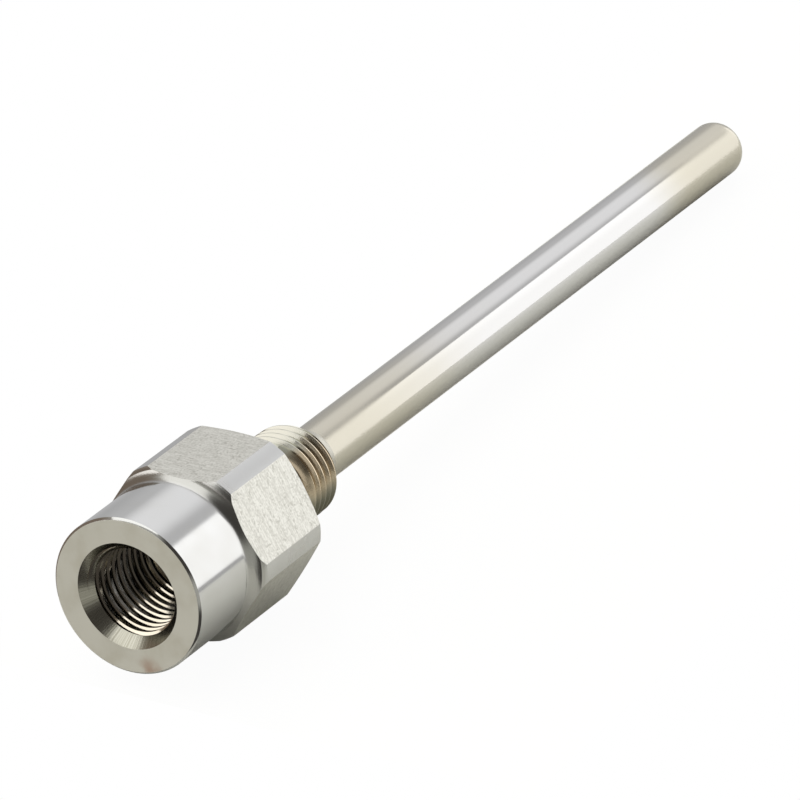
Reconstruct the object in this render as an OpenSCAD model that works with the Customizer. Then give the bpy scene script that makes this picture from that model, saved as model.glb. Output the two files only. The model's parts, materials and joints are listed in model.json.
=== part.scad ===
// Thermowell: a pocket that keeps a temperature probe dry inside a pipe or tank.
// A turned and milled head carries an inner thread for the probe, a hexagon for the
// spanner and an outer thread for the process wall. A thin tube is welded into its
// threaded end and closed at the far end by a rounded plug. Nothing moves.
// Every piece is first turned about +Z, from the open face of the head at z = 0 to the
// tip, and the whole is then laid down as it comes to rest on a table.

/* [Round head] */
// Diameter of the round head
head_d = 21.8; // [20.5:0.1:22.4]
// Length of the round head, from its open face to the fillet under the hexagon
head_len = 11.6; // [8:0.1:20]
// Chamfer on the outer edge of the open face
head_edge = 0.3; // [0.1:0.05:1]
// Diameter of the countersink at the open face
mouth_d = 14.8; // [13.5:0.1:18]
// Full angle of the countersink
mouth_angle = 76; // [60:1:120]

/* [Inner thread] */
// Bore of the inner thread, across its crests
inner_thread_bore_d = 11.9; // [9:0.1:13]
// Depth of the inner thread bore from the open face, down to its drill cone
inner_thread_depth = 18; // [12:0.5:24]
// Full angle of the drill's cone at the foot of the thread bore
drill_angle = 118; // [90:1:140]

/* [Hexagon] */
// Diameter of the bar, which the six rounded corners keep
bar_d = 25; // [24.5:0.1:26]
// Width across the flats
hex_af = 22.8; // [22.6:0.1:24.4]
// Length of the hexagon with its fillet, from the round head to the thread side
hex_len = 16.8; // [10:0.1:30]
// Radius of the hollow fillet under the hexagon
hex_fillet_r = 2; // [1.9:0.1:3.5]
// Height of the lead chamfer on the corners, at the fillet's end
corner_lead = 0.4; // [0.1:0.05:0.8]
// Angle of the lead chamfer to the axis
corner_lead_angle = 30; // [20:1:60]
// Height of the thread-side chamfer on the corners
hex_chamfer = 1.3; // [0.6:0.05:3]
// Angle of the thread-side chamfer to that face
hex_chamfer_angle = 25; // [15:1:45]

/* [Neck and outer thread] */
// Diameter of the relief neck between hexagon and thread
neck_d = 11; // [10.2:0.1:12.4]
// Length of the neck, from the hexagon to the foot of the thread
neck_len = 6.9; // [2:0.1:12]
// Radius in the neck's corner at the hexagon
neck_fillet_r = 0.8; // [0.2:0.1:1.5]
// Mean diameter over the crests of the outer thread
outer_thread_d = 13.3; // [12.8:0.05:14.5]
// Length of the outer thread with its run-in cone and end chamfer
outer_thread_len = 8.1; // [5:0.1:20]
// Angle of the run-in cone to the axis
run_in_angle = 45; // [30:1:60]
// Chamfer at the end of the outer thread
outer_thread_chamfer = 1; // [0.3:0.05:1.4]

/* [Tube] */
// Outer diameter of the tube
tube_d = 8; // [7:0.05:8.6]
// Wall of the tube
tube_wall = 0.75; // [0.5:0.05:1.5]
// Reach of the closed stem beyond the outer thread
stem_reach = 119.3; // [50:0.1:400]
// Depth of the tube's seat in the threaded end
seat_depth = 13.4; // [5:0.1:20]
// Radial clearance of the tube in its seat
seat_clearance = 0.05; // [0.02:0.01:0.15]

/* [Tip plug] */
// Length of the plug, beyond the end of the tube
plug_len = 4; // [3.2:0.1:12]
// Radius that rounds the tip's edge
tip_r = 2.65; // [0.5:0.05:3]

/* [Root weld] */
// Leg of the weld along the threaded end's face
weld_face_leg = 1.4; // [0.8:0.05:1.5]
// Leg of the weld along the tube
weld_tube_leg = 2.9; // [1.5:0.1:5]
// Thickness at which the weld runs out on the tube
weld_toe = 0.1; // [0.05:0.01:0.3]

/* [Hidden] */
$fn = 96;
// How far a cutting tool runs past what it cuts
cut = 1;

head_r = head_d / 2;
bar_r = bar_d / 2;
neck_r = neck_d / 2;
outer_thread_r = outer_thread_d / 2;
hex_face_r = bar_r - hex_chamfer;
tube_r = tube_d / 2;
tube_bore_r = tube_r - tube_wall;
seat_r = tube_r + seat_clearance;
inner_thread_bore_r = inner_thread_bore_d / 2;
mouth_r = mouth_d / 2;

// Stations along the axis, from the open face
hex_end = head_len + hex_len;
neck_end = hex_end + neck_len;
head_end = neck_end + outer_thread_len;
tip = head_end + stem_reach;
seat_floor = head_end - seat_depth;
tube_end = tip - plug_len;

// The fillet climbs from the round head until the corners' lead chamfer takes over,
// and on a low step they share its height
lead_h = min(corner_lead, (bar_r - head_r) / 2);
lead_r = bar_r - lead_h;
fillet_left = max(0, head_r + hex_fillet_r - lead_r);
lead_start = head_len + sqrt(hex_fillet_r * hex_fillet_r - fillet_left * fillet_left);
corner_start = lead_start + lead_h / tan(corner_lead_angle);
corner_end = hex_end - hex_chamfer * tan(hex_chamfer_angle);
run_in_end = neck_end + (outer_thread_r - neck_r) / tan(run_in_angle);
mouth_depth = (mouth_r - inner_thread_bore_r) / tan(mouth_angle / 2);
drill_cone_len = (inner_thread_bore_r - tube_bore_r) / tan(drill_angle / 2);
weld_leg = min(weld_face_leg, outer_thread_r - outer_thread_chamfer - tube_r);

// Rest on a table: one flat's thread-side end and the rounded tip touch it
flat_r = min(hex_af / 2, bar_r);
rest_hex = hex_end - max(0, flat_r - hex_face_r) * tan(hex_chamfer_angle);
rest_run = tip - tip_r - rest_hex;
rest_drop = flat_r - tube_r + tip_r;
lie_angle = atan2(rest_drop, rest_run) - asin(tip_r / norm([rest_run, rest_drop]));
axis_height = rest_hex * sin(lie_angle) + flat_r * cos(lie_angle);
back_x = -(head_r - head_edge) * sin(lie_angle);
front_x = (tip - tip_r) * cos(lie_angle) + (tube_r - tip_r) * sin(lie_angle) + tip_r;

// Lays a piece that is turned about +Z down on the table, its tip towards +X
module laid_down() {
    translate([-(back_x + front_x) / 2, 0, axis_height])
        rotate([0, 90 + lie_angle, 0])
            children();
}

// Outer shape of the turned blank, before the flats are milled
module head_turning() {
    rotate_extrude()
        difference() {
            polygon([
                [0, 0],
                [head_r - head_edge, 0],
                [head_r, head_edge],
                [head_r, head_len],
                [lead_r, head_len],
                [lead_r, lead_start],
                [bar_r, corner_start],
                [bar_r, corner_end],
                [hex_face_r, hex_end],
                [neck_r + neck_fillet_r, hex_end],
                [neck_r + neck_fillet_r, hex_end + neck_fillet_r],
                [neck_r, hex_end + neck_fillet_r],
                [neck_r, neck_end],
                [outer_thread_r, run_in_end],
                [outer_thread_r, head_end - outer_thread_chamfer],
                [outer_thread_r - outer_thread_chamfer, head_end],
                [0, head_end]
            ]);
            translate([head_r + hex_fillet_r, head_len])
                circle(hex_fillet_r);
            translate([head_r + hex_fillet_r, head_len - cut])
                square([bar_r, hex_fillet_r + cut]);
            translate([neck_r + neck_fillet_r, hex_end + neck_fillet_r])
                circle(neck_fillet_r);
        }
}

// Six flats, one of them facing the table and one facing up
module hexagon_envelope() {
    rotate([0, 0, 30])
        translate([0, 0, -cut])
            cylinder(r = hex_af / 2 / cos(30), h = head_end + 2 * cut, $fn = 6);
}

// Countersink, thread bore, drill cone, passage and tube seat, turned in one outline.
// The passage carries on the bore of the tube.
module head_bore() {
    rotate_extrude()
        polygon([
            [0, -cut],
            [mouth_r + cut * tan(mouth_angle / 2), -cut],
            [inner_thread_bore_r, mouth_depth],
            [inner_thread_bore_r, inner_thread_depth],
            [tube_bore_r, inner_thread_depth + drill_cone_len],
            [tube_bore_r, seat_floor],
            [seat_r, seat_floor],
            [seat_r, head_end + cut],
            [0, head_end + cut]
        ]);
}

// Head: turned from round bar, with six milled flats
module head() {
    color([0.72, 0.71, 0.67])
        laid_down()
            difference() {
                intersection() {
                    head_turning();
                    hexagon_envelope();
                }
                head_bore();
            }
}

// Stem tube: drawn tube, standing on the floor of its seat
module stem_tube() {
    color([0.76, 0.74, 0.70])
        laid_down()
            rotate_extrude()
                translate([tube_bore_r, seat_floor])
                    square([tube_wall, tube_end - seat_floor]);
}

// Tip plug: solid bar of the tube's diameter, welded on its end and ground round
module tip_plug() {
    color([0.70, 0.68, 0.63])
        laid_down()
            rotate_extrude()
                union() {
                    translate([0, tube_end])
                        square([tube_r, plug_len - tip_r]);
                    translate([0, tip - tip_r])
                        square([tube_r - tip_r, tip_r]);
                    intersection() {
                        translate([tube_r - tip_r, tip - tip_r])
                            circle(tip_r);
                        translate([0, tip - tip_r])
                            square([tube_r, tip_r]);
                    }
                }
}

// Root weld: hollow bead between the threaded end's face and the tube
module root_weld() {
    toe_r = tube_r + weld_toe;
    rise = weld_leg - weld_toe;
    hollow_r = (rise * rise + weld_tube_leg * weld_tube_leg) / (2 * rise);
    color([0.66, 0.62, 0.55])
        laid_down()
            rotate_extrude()
                difference() {
                    translate([tube_r, head_end])
                        square([weld_leg, weld_tube_leg]);
                    translate([toe_r + hollow_r, head_end + weld_tube_leg])
                        circle(hollow_r);
                }
}

head();
stem_tube();
tip_plug();
root_weld();
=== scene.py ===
import json
from math import asin, atan2, cos, degrees, pi, radians, sin, tan

import bpy
from mathutils import Euler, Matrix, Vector


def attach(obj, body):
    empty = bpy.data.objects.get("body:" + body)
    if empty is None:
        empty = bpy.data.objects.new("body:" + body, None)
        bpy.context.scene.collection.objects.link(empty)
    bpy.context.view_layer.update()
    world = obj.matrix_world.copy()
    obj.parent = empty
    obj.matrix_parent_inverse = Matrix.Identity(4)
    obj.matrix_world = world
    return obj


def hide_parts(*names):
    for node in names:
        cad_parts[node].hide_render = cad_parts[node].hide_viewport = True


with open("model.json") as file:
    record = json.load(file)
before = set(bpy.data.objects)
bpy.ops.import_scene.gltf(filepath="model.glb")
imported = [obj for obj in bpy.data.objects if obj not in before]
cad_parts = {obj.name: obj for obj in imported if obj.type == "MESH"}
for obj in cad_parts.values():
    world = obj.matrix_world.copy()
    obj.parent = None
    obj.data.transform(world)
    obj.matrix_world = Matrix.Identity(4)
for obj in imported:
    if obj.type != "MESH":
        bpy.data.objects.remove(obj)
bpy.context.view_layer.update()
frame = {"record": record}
mm = 0.001


# ---------------------------------------------------------------- head, turned blank
# One bar of stainless steel, bright-turned: a round head, a hollow fillet, the bar's own
# 25 mm round, a relief neck and the end for the outer thread. It is bored from both ends.
# Every piece is drawn on a lathe, about +X from the open face, and laid down afterwards.
def select_only(piece):
    bpy.ops.object.select_all(action="DESELECT")
    bpy.context.view_layer.objects.active = piece
    piece.select_set(True)


def start_edit(piece):
    select_only(piece)
    bpy.ops.object.mode_set(mode="EDIT")
    bpy.ops.mesh.select_mode(type="VERT")
    bpy.ops.mesh.select_all(action="SELECT")


def draw_outline(name, stations):
    """Extrudes one point round closed stations of (place along the axis, radius)."""
    bpy.ops.object.select_all(action="DESELECT")
    bpy.ops.mesh.primitive_plane_add(size=mm, location=(stations[0][0], 0, stations[0][1]))
    piece = bpy.context.object
    piece.name = piece.data.name = name
    bpy.ops.object.transform_apply(location=True, rotation=False, scale=False)
    start_edit(piece)
    bpy.ops.mesh.merge(type="CENTER")
    for here, there in zip(stations, stations[1:] + stations[:1]):
        step = (there[0] - here[0], 0, there[1] - here[1])
        bpy.ops.mesh.extrude_region_move(TRANSFORM_OT_translate={"value": step})
    bpy.ops.mesh.select_all(action="SELECT")
    bpy.ops.mesh.remove_doubles(threshold=0.002 * mm)
    bpy.ops.object.mode_set(mode="OBJECT")
    return piece


def turn(name, stations, steps):
    """Spins an outline about the lathe's axis."""
    piece = draw_outline(name, stations)
    start_edit(piece)
    bpy.ops.mesh.spin(steps=steps, angle=2 * pi, center=(0, 0, 0), axis=(1, 0, 0))
    bpy.ops.mesh.select_all(action="SELECT")
    bpy.ops.mesh.remove_doubles(threshold=0.002 * mm)
    bpy.ops.mesh.delete_loose()
    bpy.ops.mesh.normals_make_consistent(inside=False)
    bpy.ops.object.mode_set(mode="OBJECT")
    return piece


def arc(centre, radius, start, end, steps):
    """Stations of an arc about centre, from one angle to another, in degrees."""
    angles = [radians(start + (end - start) * i / steps) for i in range(steps + 1)]
    return [(centre[0] + radius * cos(a), centre[1] + radius * sin(a)) for a in angles]


mounts = {mount["name"]: mount for mount in frame["record"]["mounts"]}
head_r = 10.9 * mm
head_len = 11.6 * mm
head_edge = 0.3 * mm
bar_r = 12.5 * mm
fillet_r = 2.0 * mm
lead_h = 0.4 * mm
lead_angle = radians(30)
hex_end = 28.4 * mm
hex_chamfer = 1.3 * mm
hex_chamfer_angle = radians(25)
neck_r = 5.5 * mm
neck_end = 35.3 * mm
neck_fillet_r = 0.8 * mm
thread_r = mounts["process_thread"]["dims"]["r_mm"] * mm
thread_taper = 1 / 32
thread_chamfer = 1.0 * mm
head_end = 43.4 * mm
mouth_r = 7.4 * mm
mouth_angle = radians(76)
inner_r = mounts["instrument_thread"]["dims"]["r_mm"] * mm
inner_depth = 18 * mm
drill_angle = radians(118)
passage_r = mounts["sensor_bore"]["dims"]["r_mm"] * mm
seat_floor = 30 * mm
seat_r = 4.05 * mm

fillet_top = degrees(asin((bar_r - lead_h - head_r - fillet_r) / fillet_r))
fillet = arc((head_len, head_r + fillet_r), fillet_r, -90, fillet_top, steps=14)
neck_fillet = arc((hex_end + neck_fillet_r, neck_r + neck_fillet_r), neck_fillet_r, 180, 270, steps=8)
crest_start = neck_end + thread_r - neck_r
crest_end = head_end - thread_chamfer
crest_rise = thread_taper * (crest_end - crest_start) / 2
mouth_depth = (mouth_r - inner_r) / tan(mouth_angle / 2)
drill_cone = (inner_r - passage_r) / tan(drill_angle / 2)

head = turn("threaded_head", [
    (0, mouth_r),
    (0, head_r - head_edge),
    (head_edge, head_r),
    *fillet,
    (fillet[-1][0] + lead_h / tan(lead_angle), bar_r),
    (hex_end - hex_chamfer * tan(hex_chamfer_angle), bar_r),
    (hex_end, bar_r - hex_chamfer),
    *neck_fillet,
    (neck_end, neck_r),
    (crest_start, thread_r + crest_rise),
    (crest_end, thread_r - crest_rise),
    (head_end, thread_r - thread_chamfer),
    (head_end, seat_r),
    (seat_floor, seat_r),
    (seat_floor, passage_r),
    (inner_depth + drill_cone, passage_r),
    (inner_depth, inner_r),
    (mouth_depth, inner_r),
], steps=240)


class Wire:
    """One value, colour or vector in a material. The usual signs add Math nodes."""

    def __init__(self, tree, socket):
        self.tree = tree
        self.socket = socket

    def node(self, kind, settings, inputs, output=0):
        """Adds a node: its settings first, then its inputs. Gives one output."""
        made = self.tree.nodes.new(kind)
        for name, setting in settings.items():
            setattr(made, name, setting)
        for name, value in inputs.items():
            if isinstance(value, Wire):
                self.tree.links.new(value.socket, made.inputs[name])
            else:
                made.inputs[name].default_value = value
        return Wire(self.tree, made.outputs[output])

    def math(self, operation, first, second):
        return self.node("ShaderNodeMath", {"operation": operation}, {0: first, 1: second})

    def __add__(self, other):
        return self.math("ADD", self, other)

    def __sub__(self, other):
        return self.math("SUBTRACT", self, other)

    def __rsub__(self, other):
        return self.math("SUBTRACT", other, self)

    def __mul__(self, other):
        return self.math("MULTIPLY", self, other)

    def __truediv__(self, other):
        return self.math("DIVIDE", self, other)

    def __rtruediv__(self, other):
        return self.math("DIVIDE", other, self)

    __radd__ = __add__
    __rmul__ = __mul__

    def ramp(self, low, high):
        """0 at low and 1 at high, with soft ends."""
        return self.node("ShaderNodeMapRange", {"interpolation_type": "SMOOTHSTEP"},
                         {"Value": self, "From Min": low, "From Max": high})

    def blend(self, first, second):
        """One colour where this is 0, the other where it is 1."""
        return self.node("ShaderNodeMix", {"data_type": "RGBA"}, {0: self, 6: first, 7: second}, 2)

    def part(self, number):
        """The x, y or z of a vector: part 0, 1 or 2."""
        return self.node("ShaderNodeSeparateXYZ", {}, {0: self}, number)

    def vector(self, operation, other, output="Vector"):
        return self.node("ShaderNodeVectorMath", {"operation": operation}, {0: self, 1: other}, output)

    def noise(self, scale, detail=2.0):
        """Noise between 0 and 1. The scale gives its spots per metre, along x, y and z."""
        return self.node("ShaderNodeTexNoise", {},
                         {"Vector": self.vector("MULTIPLY", scale), "Scale": 1, "Detail": detail})

    def line_noise(self, scale, detail):
        """Noise that changes with this one value alone."""
        return self.node("ShaderNodeTexNoise", {"noise_dimensions": "1D"},
                         {"W": self, "Scale": scale, "Detail": detail})

    def bump(self, height):
        """A normal for a surface whose heights run from 0 to this height."""
        return self.node("ShaderNodeBump", {}, {"Height": self, "Distance": height})


axis = Vector(mounts["process_thread"]["axis"])
thread_middle = Vector(mounts["process_thread"]["pos_m"])
face_centre = thread_middle + axis * (Vector(mounts["open_face"]["pos_m"]) - thread_middle).dot(axis)
dip = atan2(-axis.z, axis.x)


def new_steel(name):
    """A metal, and the place of each point of its surface on the lathe, so that its marks
    run as the tool ran, whatever way the piece lies."""
    material = bpy.data.materials.new(name)
    material.use_nodes = True
    tree = material.node_tree
    tree.nodes["Principled BSDF"].inputs["Metallic"].default_value = 1
    place = Wire(tree, tree.nodes.new("ShaderNodeTexCoord").outputs["Object"])
    return material, place.node("ShaderNodeMapping", {"vector_type": "TEXTURE"},
                                {"Vector": place, "Location": face_centre, "Rotation": (0, dip, 0)})


def from_axis(place):
    """How far a place is from the lathe's axis."""
    return place.vector("MULTIPLY", (0, 1, 1)).vector("LENGTH", (0, 0, 0), "Value")


def lathe_lines(place, spacing):
    """Fine lines left by a turning tool, round the axis on sides and faces alike."""
    return (place.part(0) + from_axis(place)).line_noise(1 / spacing, 1)


def finish_steel(material, color, roughness, normal):
    """Gives a metal its colour, roughness and normal."""
    tree = material.node_tree
    shader = tree.nodes["Principled BSDF"]
    tree.links.new(color.socket, shader.inputs["Base Color"])
    tree.links.new(roughness.socket, shader.inputs["Roughness"])
    tree.links.new(normal.socket, shader.inputs["Normal"])


# Bright-turned: the round head is smooth, and the fillet and chamfers beyond it are less
# so. The bar's own skin, left between the flats, is duller.
bright = (0.61, 0.61, 0.60, 1)
smudged = (0.575, 0.57, 0.55, 1)
coarse = (0.50, 0.495, 0.475, 1)
bright_steel, place = new_steel("bright_steel")
smudge = place.noise((130, 130, 130))
skin = from_axis(place).ramp(12.3 * mm, 12.4 * mm)
hollow = place.part(0).ramp(11.3 * mm, 12.2 * mm) - skin
finish_steel(bright_steel,
             hollow.blend(smudge.ramp(0.35, 0.75).blend(bright, smudged), coarse),
             0.08 + smudge * 0.06 + skin * 0.16 + hollow * 0.12,
             (lathe_lines(place, 0.25 * mm) * (0.3 + hollow)).bump(0.002 * mm))

# Faced: the open face is satin, with smudges and a brown stain low on its rim.
satin = (0.61, 0.625, 0.555, 1)
greyed = (0.55, 0.555, 0.475, 1)
brown = (0.42, 0.32, 0.25, 1)
stain_centre = (0, -3 * mm, -10.4 * mm)
stain_r = 3.2 * mm
faced_steel, place = new_steel("faced_steel")
smudge = place.noise((240, 240, 240), detail=3)
lines = lathe_lines(place, 0.3 * mm)
stain = place.vector("DISTANCE", stain_centre, "Value").ramp(stain_r, stain_r / 8)
finish_steel(faced_steel,
             (stain * smudge.ramp(0.35, 0.6)).blend(smudge.ramp(0.4, 0.75).blend(satin, greyed), brown),
             0.24 + smudge * 0.1 + lines * 0.05,
             lines.bump(0.001 * mm))

# Countersunk: the cone at the mouth shows the radial chatter of its tool, and both its greys are darker
# than the other steel as painted shade in the recess.
cone_grey_shaded = (0.50, 0.485, 0.42, 1)
cone_chatter_shaded = (0.40, 0.385, 0.32, 1)
sunk_steel, place = new_steel("sunk_steel")
around = place.math("ARCTAN2", place.part(1), place.part(2))
chatter = around.line_noise(26, 2)
finish_steel(sunk_steel,
             chatter.ramp(0.35, 0.7).blend(cone_grey_shaded, cone_chatter_shaded),
             0.19 + chatter * 0.08,
             (chatter + place.noise((1500, 1500, 1500))).bump(0.006 * mm))

for steel in (bright_steel, faced_steel, sunk_steel):
    head.data.materials.append(steel)
for face in head.data.polygons:
    out = face.center.yz.length
    if face.center.x < mouth_depth and out < head_r - head_edge:
        face.material_index = 1 if out > mouth_r else 2


# ---------------------------------------------------------------- head, milled flats
# Six flats milled across the bar. They stand clear of the round head, so the fillet
# runs out below each corner, and a strip of the bar's round is left between them.
def change(piece, kind, **settings):
    """Adds a modifier and applies it."""
    select_only(piece)
    modifier = piece.modifiers.new(kind.title(), kind)
    for name, setting in settings.items():
        setattr(modifier, name, setting)
    bpy.ops.object.modifier_apply(modifier=modifier.name)


def machine(piece, tool, operation, finish):
    """Cuts the piece with a tool, leaves the tool's finish there and takes the tool away."""
    tool.data.materials.append(finish)
    change(piece, "BOOLEAN", object=tool, operation=operation, solver="EXACT",
           material_mode="TRANSFER")
    bpy.data.meshes.remove(tool.data)


# Milled: short strokes of the cutter across the flats, and a pitted grain.
milled = (0.69, 0.68, 0.625, 1)
pitted = (0.47, 0.46, 0.41, 1)
milled_steel, place = new_steel("milled_steel")
grain = place.noise((3400, 3400, 3400), detail=3)
strokes = place.noise((4000, 420, 420))
marks = (strokes * 0.5 + grain * 0.5).ramp(0.38, 0.62)
pits = place.noise((1900, 1900, 1900), detail=1).ramp(0.63, 0.70)
finish_steel(milled_steel,
             (marks * 0.7 + pits * 0.7).blend(milled, pitted),
             0.31 + grain * 0.12,
             (strokes + grain).bump(0.012 * mm))

hex_af = 22.8 * mm
bpy.ops.object.select_all(action="DESELECT")
bpy.ops.mesh.primitive_cylinder_add(
    vertices=6, radius=hex_af / 2 / cos(pi / 6), depth=3 * head_end, rotation=(0, pi / 2, 0))
mill = bpy.context.object
bpy.ops.object.transform_apply(location=True, rotation=True, scale=True)
machine(head, mill, "INTERSECT", milled_steel)
change(head, "BEVEL", width=0.1 * mm, segments=3, limit_method="ANGLE",
       angle_limit=radians(24))


# ---------------------------------------------------------------- head, threads
# Both threads are right-hand, with one start, and the outer one narrows like its crests.
# The tap and the die are V-shaped bodies wound along a helix, which run in past the end
# of the metal and out into a neck or a bore.
def wind(name, start, pitch, turns, nose_r, back_r, angle, nose, taper=0.0, middle=0.0):
    """A thread-cutting body. Its nose is a flat of this width that cuts at nose_r, and its
    back stands clear of the metal. With a taper, it has these radii at the middle."""
    half = nose / 2 + abs(back_r - nose_r) * tan(angle / 2)
    narrowing = taper / (nose_r + taper * middle)
    nose_r /= 1 - narrowing * middle
    back_r /= 1 - narrowing * middle
    tool = draw_outline(name, [(start - half, back_r), (start - nose / 2, nose_r),
                               (start + nose / 2, nose_r), (start + half, back_r)])
    change(tool, "SCREW", axis="X", angle=2 * pi, screw_offset=pitch, iterations=turns,
           steps=120, render_steps=120, use_merge_vertices=True, merge_threshold=0.001 * mm)
    if taper:
        change(tool, "SIMPLE_DEFORM", deform_method="TAPER", deform_axis="X",
               factor=-narrowing * tool.dimensions.x)
    start_edit(tool)
    bpy.ops.mesh.fill_holes(sides=0)
    bpy.ops.mesh.normals_make_consistent(inside=False)
    bpy.ops.object.mode_set(mode="OBJECT")
    return tool


# Tapped: the inner thread is bright in the cut and a little oily, and both its colours are raised
# further as painted light in the bore.
tapped_and_lit = (0.68, 0.645, 0.565, 1)
oiled_and_lit = (0.57, 0.515, 0.40, 1)
tapped_steel, place = new_steel("tapped_steel")
oil = place.noise((300, 300, 300))
finish_steel(tapped_steel,
             oil.blend(tapped_and_lit, oiled_and_lit),
             0.08 + oil * 0.06,
             lathe_lines(place, 0.12 * mm).bump(0.001 * mm))

# Neck and outer thread: grey, with a painted copper-brown reflection down one side and painted shade
# that darkens them below.
grey = (0.50, 0.495, 0.435, 1)
reflected_copper_brown = (0.66, 0.55, 0.40, 1)
dark = (0.24, 0.23, 0.17, 1)
reflection_side = (0, -0.89, 0.46)
shaded_side = (0, -0.82, -0.57)
thread_steel_painted_light, place = new_steel("thread_steel_painted_light")
cloud = place.noise((300, 300, 300))
# Painted light: a copper-brown reflection on one side, and painted shade on the lower side.
toward = place.vector("DOT_PRODUCT", reflection_side, "Value") / from_axis(place)
below = place.vector("DOT_PRODUCT", shaded_side, "Value") / from_axis(place)
painted_reflection = (toward + cloud * 0.35).ramp(0.90, 1.14)
finish_steel(thread_steel_painted_light,
             below.ramp(0.75, 1.0).blend(painted_reflection.blend(grey, reflected_copper_brown), dark),
             0.11 + painted_reflection * 0.10 + cloud * 0.05,
             lathe_lines(place, 0.12 * mm).bump(0.001 * mm))

head.data.materials.append(thread_steel_painted_light)
for face in head.data.polygons:
    if face.center.x > hex_end + neck_fillet_r:
        face.material_index = len(head.data.materials) - 1

inner_pitch = 1.337 * mm
tap = wind("tap", start=-inner_pitch, pitch=inner_pitch, turns=13, nose_r=6.58 * mm,
           back_r=inner_r - 0.15 * mm, angle=radians(55), nose=0.18 * mm)
machine(head, tap, "DIFFERENCE", tapped_steel)

outer_pitch = 1.411 * mm
die = wind("die", start=neck_end - 0.9 * outer_pitch, pitch=outer_pitch, turns=8,
           nose_r=5.62 * mm, back_r=thread_r + 0.12 * mm, angle=radians(60), nose=0.06 * mm,
           taper=thread_taper, middle=(crest_start + crest_end) / 2)
machine(head, die, "DIFFERENCE", thread_steel_painted_light)


def lay_down(piece):
    """Brings a piece from the lathe to its place on the table."""
    select_only(piece)
    piece.location = face_centre
    piece.rotation_euler = (0, dip, 0)
    bpy.ops.object.transform_apply(location=True, rotation=True, scale=True)
    bpy.ops.object.shade_smooth_by_angle(angle=radians(26))
    change(piece, "WEIGHTED_NORMAL", keep_sharp=True)


lay_down(head)
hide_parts("head")
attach(head, "root")


# ---------------------------------------------------------------- stem tube
# Drawn stainless tube, 8 mm across with a 0.75 mm wall. It stands on the floor of its
# seat in the threaded end. It is mirror-bright, and hazy and straw-coloured towards the
# welds at its two ends.
tube_r = 4 * mm
tube_end = 158.7 * mm
tube = turn("drawn_tube", [
    (seat_floor, passage_r),
    (seat_floor, tube_r),
    (tube_end, tube_r),
    (tube_end, passage_r),
], steps=128)
lay_down(tube)

drawn = (0.61, 0.605, 0.595, 1)
straw = (0.53, 0.50, 0.42, 1)
tube_steel, place = new_steel("tube_steel")
along = place.part(0)
haze = along.ramp(70 * mm, 52 * mm) + along.ramp(136 * mm, 152 * mm)
warmth = along.ramp(105 * mm, 45 * mm) + along.ramp(130 * mm, 150 * mm)
cloud = place.noise((90, 200, 200))
finish_steel(tube_steel,
             (warmth + cloud * 0.3).ramp(0.2, 1.1).blend(drawn, straw),
             0.05 + haze * 0.15 + cloud * 0.03,
             place.noise((200, 4000, 4000), detail=1).bump(0.0003 * mm))
tube.data.materials.append(tube_steel)
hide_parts("stem_tube")
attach(tube, "root")


# ---------------------------------------------------------------- tip plug
# A short plug of the tube's steel and diameter. It is butt-welded to the tube's end and
# ground round.
tip = 162.7 * mm
tip_r = 2.65 * mm
plug = turn("ground_tip", [
    (tube_end, 0),
    (tube_end, tube_r),
    *arc((tip - tip_r, tube_r - tip_r), tip_r, 90, 0, steps=24),
    (tip, 0),
], steps=128)
lay_down(plug)
plug.data.materials.append(tube_steel)
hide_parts("tip_plug")
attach(plug, "root")


# ---------------------------------------------------------------- root weld
# The hollow bead that joins the tube to the end of the thread and closes its seat. Its
# metal is grey, faintly rippled and unpolished.
weld_face_leg = 1.4 * mm
weld_tube_leg = 2.9 * mm
weld_toe = 0.1 * mm
weld_rise = weld_face_leg - weld_toe
weld_hollow_r = (weld_rise**2 + weld_tube_leg**2) / (2 * weld_rise)
weld_sweep = degrees(asin(weld_tube_leg / weld_hollow_r))
weld = turn("weld_bead", [
    (head_end, tube_r),
    *arc((head_end + weld_tube_leg, tube_r + weld_toe + weld_hollow_r), weld_hollow_r,
         270 - weld_sweep, 270, steps=16),
    (head_end + weld_tube_leg, tube_r),
], steps=128)
lay_down(weld)

weld_pale = (0.54, 0.525, 0.47, 1)
weld_dark = (0.42, 0.40, 0.34, 1)
weld_steel, place = new_steel("weld_steel")
ripple = place.noise((900, 900, 900))
finish_steel(weld_steel,
             ripple.blend(weld_pale, weld_dark),
             0.3 + ripple * 0.1,
             ripple.bump(0.02 * mm))
weld.data.materials.append(weld_steel)
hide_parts("root_weld")
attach(weld, "root")


# ---------------------------------------------------------------- table
# A pale, narrow table top, little larger than the part, which lies close to two of its
# edges. The camera sees it as white paper that keeps some of the part's shadow.
def kinds_of_ray(tree):
    """1 for rays that the camera sees directly, and 1 for those mirrored or let through."""
    rays = tree.nodes.new("ShaderNodeLightPath").outputs
    return (Wire(tree, rays["Is Camera Ray"]),
            Wire(tree, rays["Is Glossy Ray"]) + Wire(tree, rays["Is Transmission Ray"]))


table_length = 284 * mm
table_width = 84 * mm
table_middle = (58.5 * mm, -18 * mm, 0)
bpy.ops.object.select_all(action="DESELECT")
bpy.ops.mesh.primitive_plane_add(size=1, location=table_middle)
table = bpy.context.object
table.name = "table_top"
table.scale = (table_length, table_width, 1)
bpy.ops.object.transform_apply(location=True, rotation=False, scale=True)

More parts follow.
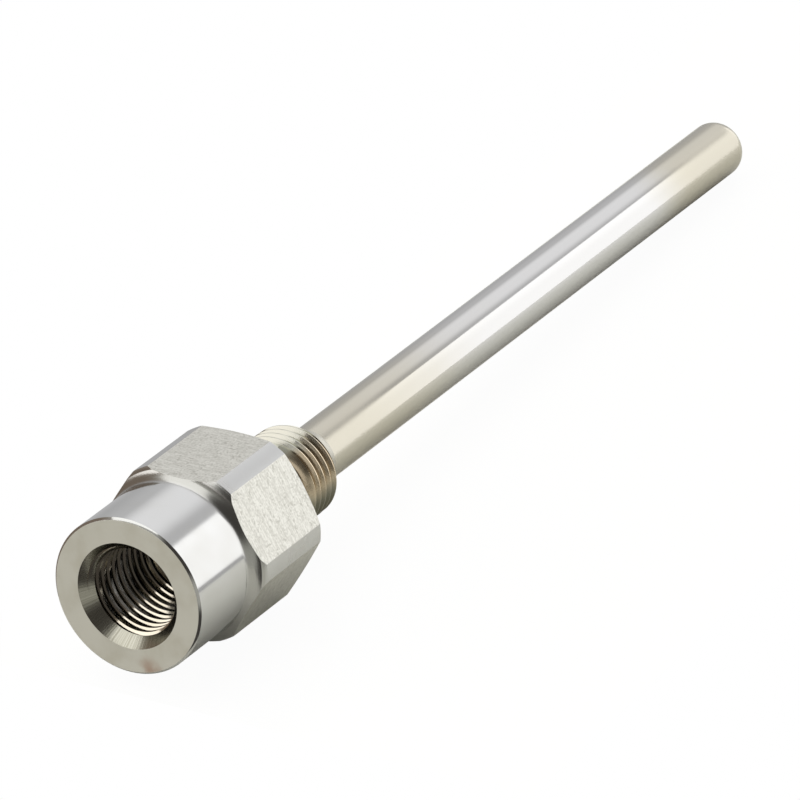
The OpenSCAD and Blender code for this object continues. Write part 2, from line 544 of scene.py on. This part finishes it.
paper = bpy.data.materials.new("pale_paper")
paper.use_nodes = True
tree = paper.node_tree
surface = tree.nodes["Principled BSDF"]
surface.inputs["Base Color"].default_value = (0.91, 0.91, 0.83, 1)
surface.inputs["Roughness"].default_value = 0.22
seen, mirrored = kinds_of_ray(tree)
white = seen * 0.94 + mirrored * 0.05
glow = white.node("ShaderNodeEmission", {}, {"Color": (1, 1, 1, 1), "Strength": 1.02})
mixed = white.node("ShaderNodeMixShader", {}, {0: white, 1: Wire(tree, surface.outputs[0]), 2: glow})
tree.links.new(mixed.socket, tree.nodes["Material Output"].inputs[0])
table.data.materials.append(paper)


# ---------------------------------------------------------------- light
# The studio's walls are dim around the camera and pale beyond the part, with a glow above
# its tip, a low screen on the right and a pale ceiling. Four softboxes stand in it: low on
# the right, overhead, in front of the open end, and below the table's front edge.
world = bpy.data.worlds.new("studio")
bpy.context.scene.world = world
world.use_nodes = True
tree = world.node_tree
direction = Wire(tree, tree.nodes.new("ShaderNodeTexCoord").outputs["Generated"])
forward, sideways, upward = (direction.part(number) for number in range(3))
toward_glow = direction.vector("DOT_PRODUCT", (0.815, 0.209, 0.540), "Value")
glow = toward_glow.ramp(0.70, 0.95) * 0.28 + toward_glow.ramp(0.92, 0.995) * 0.72
screen = sideways.ramp(-0.45, -0.8) * upward.ramp(0.35, 0.05) * upward.ramp(-0.45, -0.2)
ceiling = sideways.ramp(-0.35, -0.05) * upward.ramp(0.5, 0.8)
beyond = forward.ramp(0.35, 0.70)
dark_wall = (0.07, 0.065, 0.06, 1)
brown_wall = (0.25, 0.20, 0.16, 1)
pale_wall = (0.50, 0.50, 0.46, 1)
far_wall = (0.32, 0.32, 0.33, 1)
glow_white = (1.15, 1.15, 1.18, 1)
near_walls = (screen + ceiling).blend(sideways.ramp(-0.2, 0.5).blend(dark_wall, brown_wall), pale_wall)
room = glow.blend(beyond.blend(near_walls, far_wall), glow_white)
seen, mirrored = kinds_of_ray(tree)
backdrop = (seen + mirrored * beyond * 0.3).blend(room, (1, 1, 1, 1))
tree.links.new(backdrop.socket, tree.nodes["Background"].inputs["Color"])


def softbox(name, bearing, height, wide, tall, glow):
    """An area light 4 m away that faces the part. Angles are in degrees, and the glow
    is its brightness beside white paper in full light."""
    distance = 4
    away = Vector((cos(radians(bearing)) * cos(radians(height)),
                   sin(radians(bearing)) * cos(radians(height)), sin(radians(height))))
    bpy.ops.object.select_all(action="DESELECT")
    bpy.ops.object.light_add(type="AREA", location=away * distance)
    lamp = bpy.context.object
    lamp.name = name
    lamp.rotation_euler = away.to_track_quat("Z", "Y").to_euler()
    lamp.data.shape = "RECTANGLE"
    lamp.data.size = 2 * distance * tan(radians(wide) / 2)
    lamp.data.size_y = 2 * distance * tan(radians(tall) / 2)
    lamp.data.energy = glow * pi * lamp.data.size * lamp.data.size_y


softbox("key_softbox", bearing=-27, height=12.1, wide=62, tall=38.8, glow=1.02)
softbox("top_softbox", bearing=84, height=74, wide=66, tall=56, glow=1.02)
softbox("front_softbox", bearing=146, height=19, wide=53, tall=36, glow=1.5)
softbox("floor_softbox", bearing=151, height=-24, wide=60, tall=34, glow=0.52)


# ---------------------------------------------------------------- camera
# A long lens that looks along the part from above its open end, rolled a little.
bearing = radians(-149.197)
height = radians(27.964)
roll = radians(2.676)
distance = 1.3164
aim = Vector((-4.719, 3.558, 3.790)) * mm
back = Vector((cos(bearing) * cos(height), sin(bearing) * cos(height), sin(height)))
bpy.ops.object.select_all(action="DESELECT")
bpy.ops.object.camera_add(location=aim + back * distance)
camera = bpy.context.object
camera.rotation_euler = (back.to_track_quat("Z", "Y") @ Euler((0, 0, -roll)).to_quaternion()).to_euler()
camera.data.lens = 441.24
camera.data.sensor_width = 36
bpy.context.scene.camera = camera
bpy.context.scene.view_settings.view_transform = "Standard"
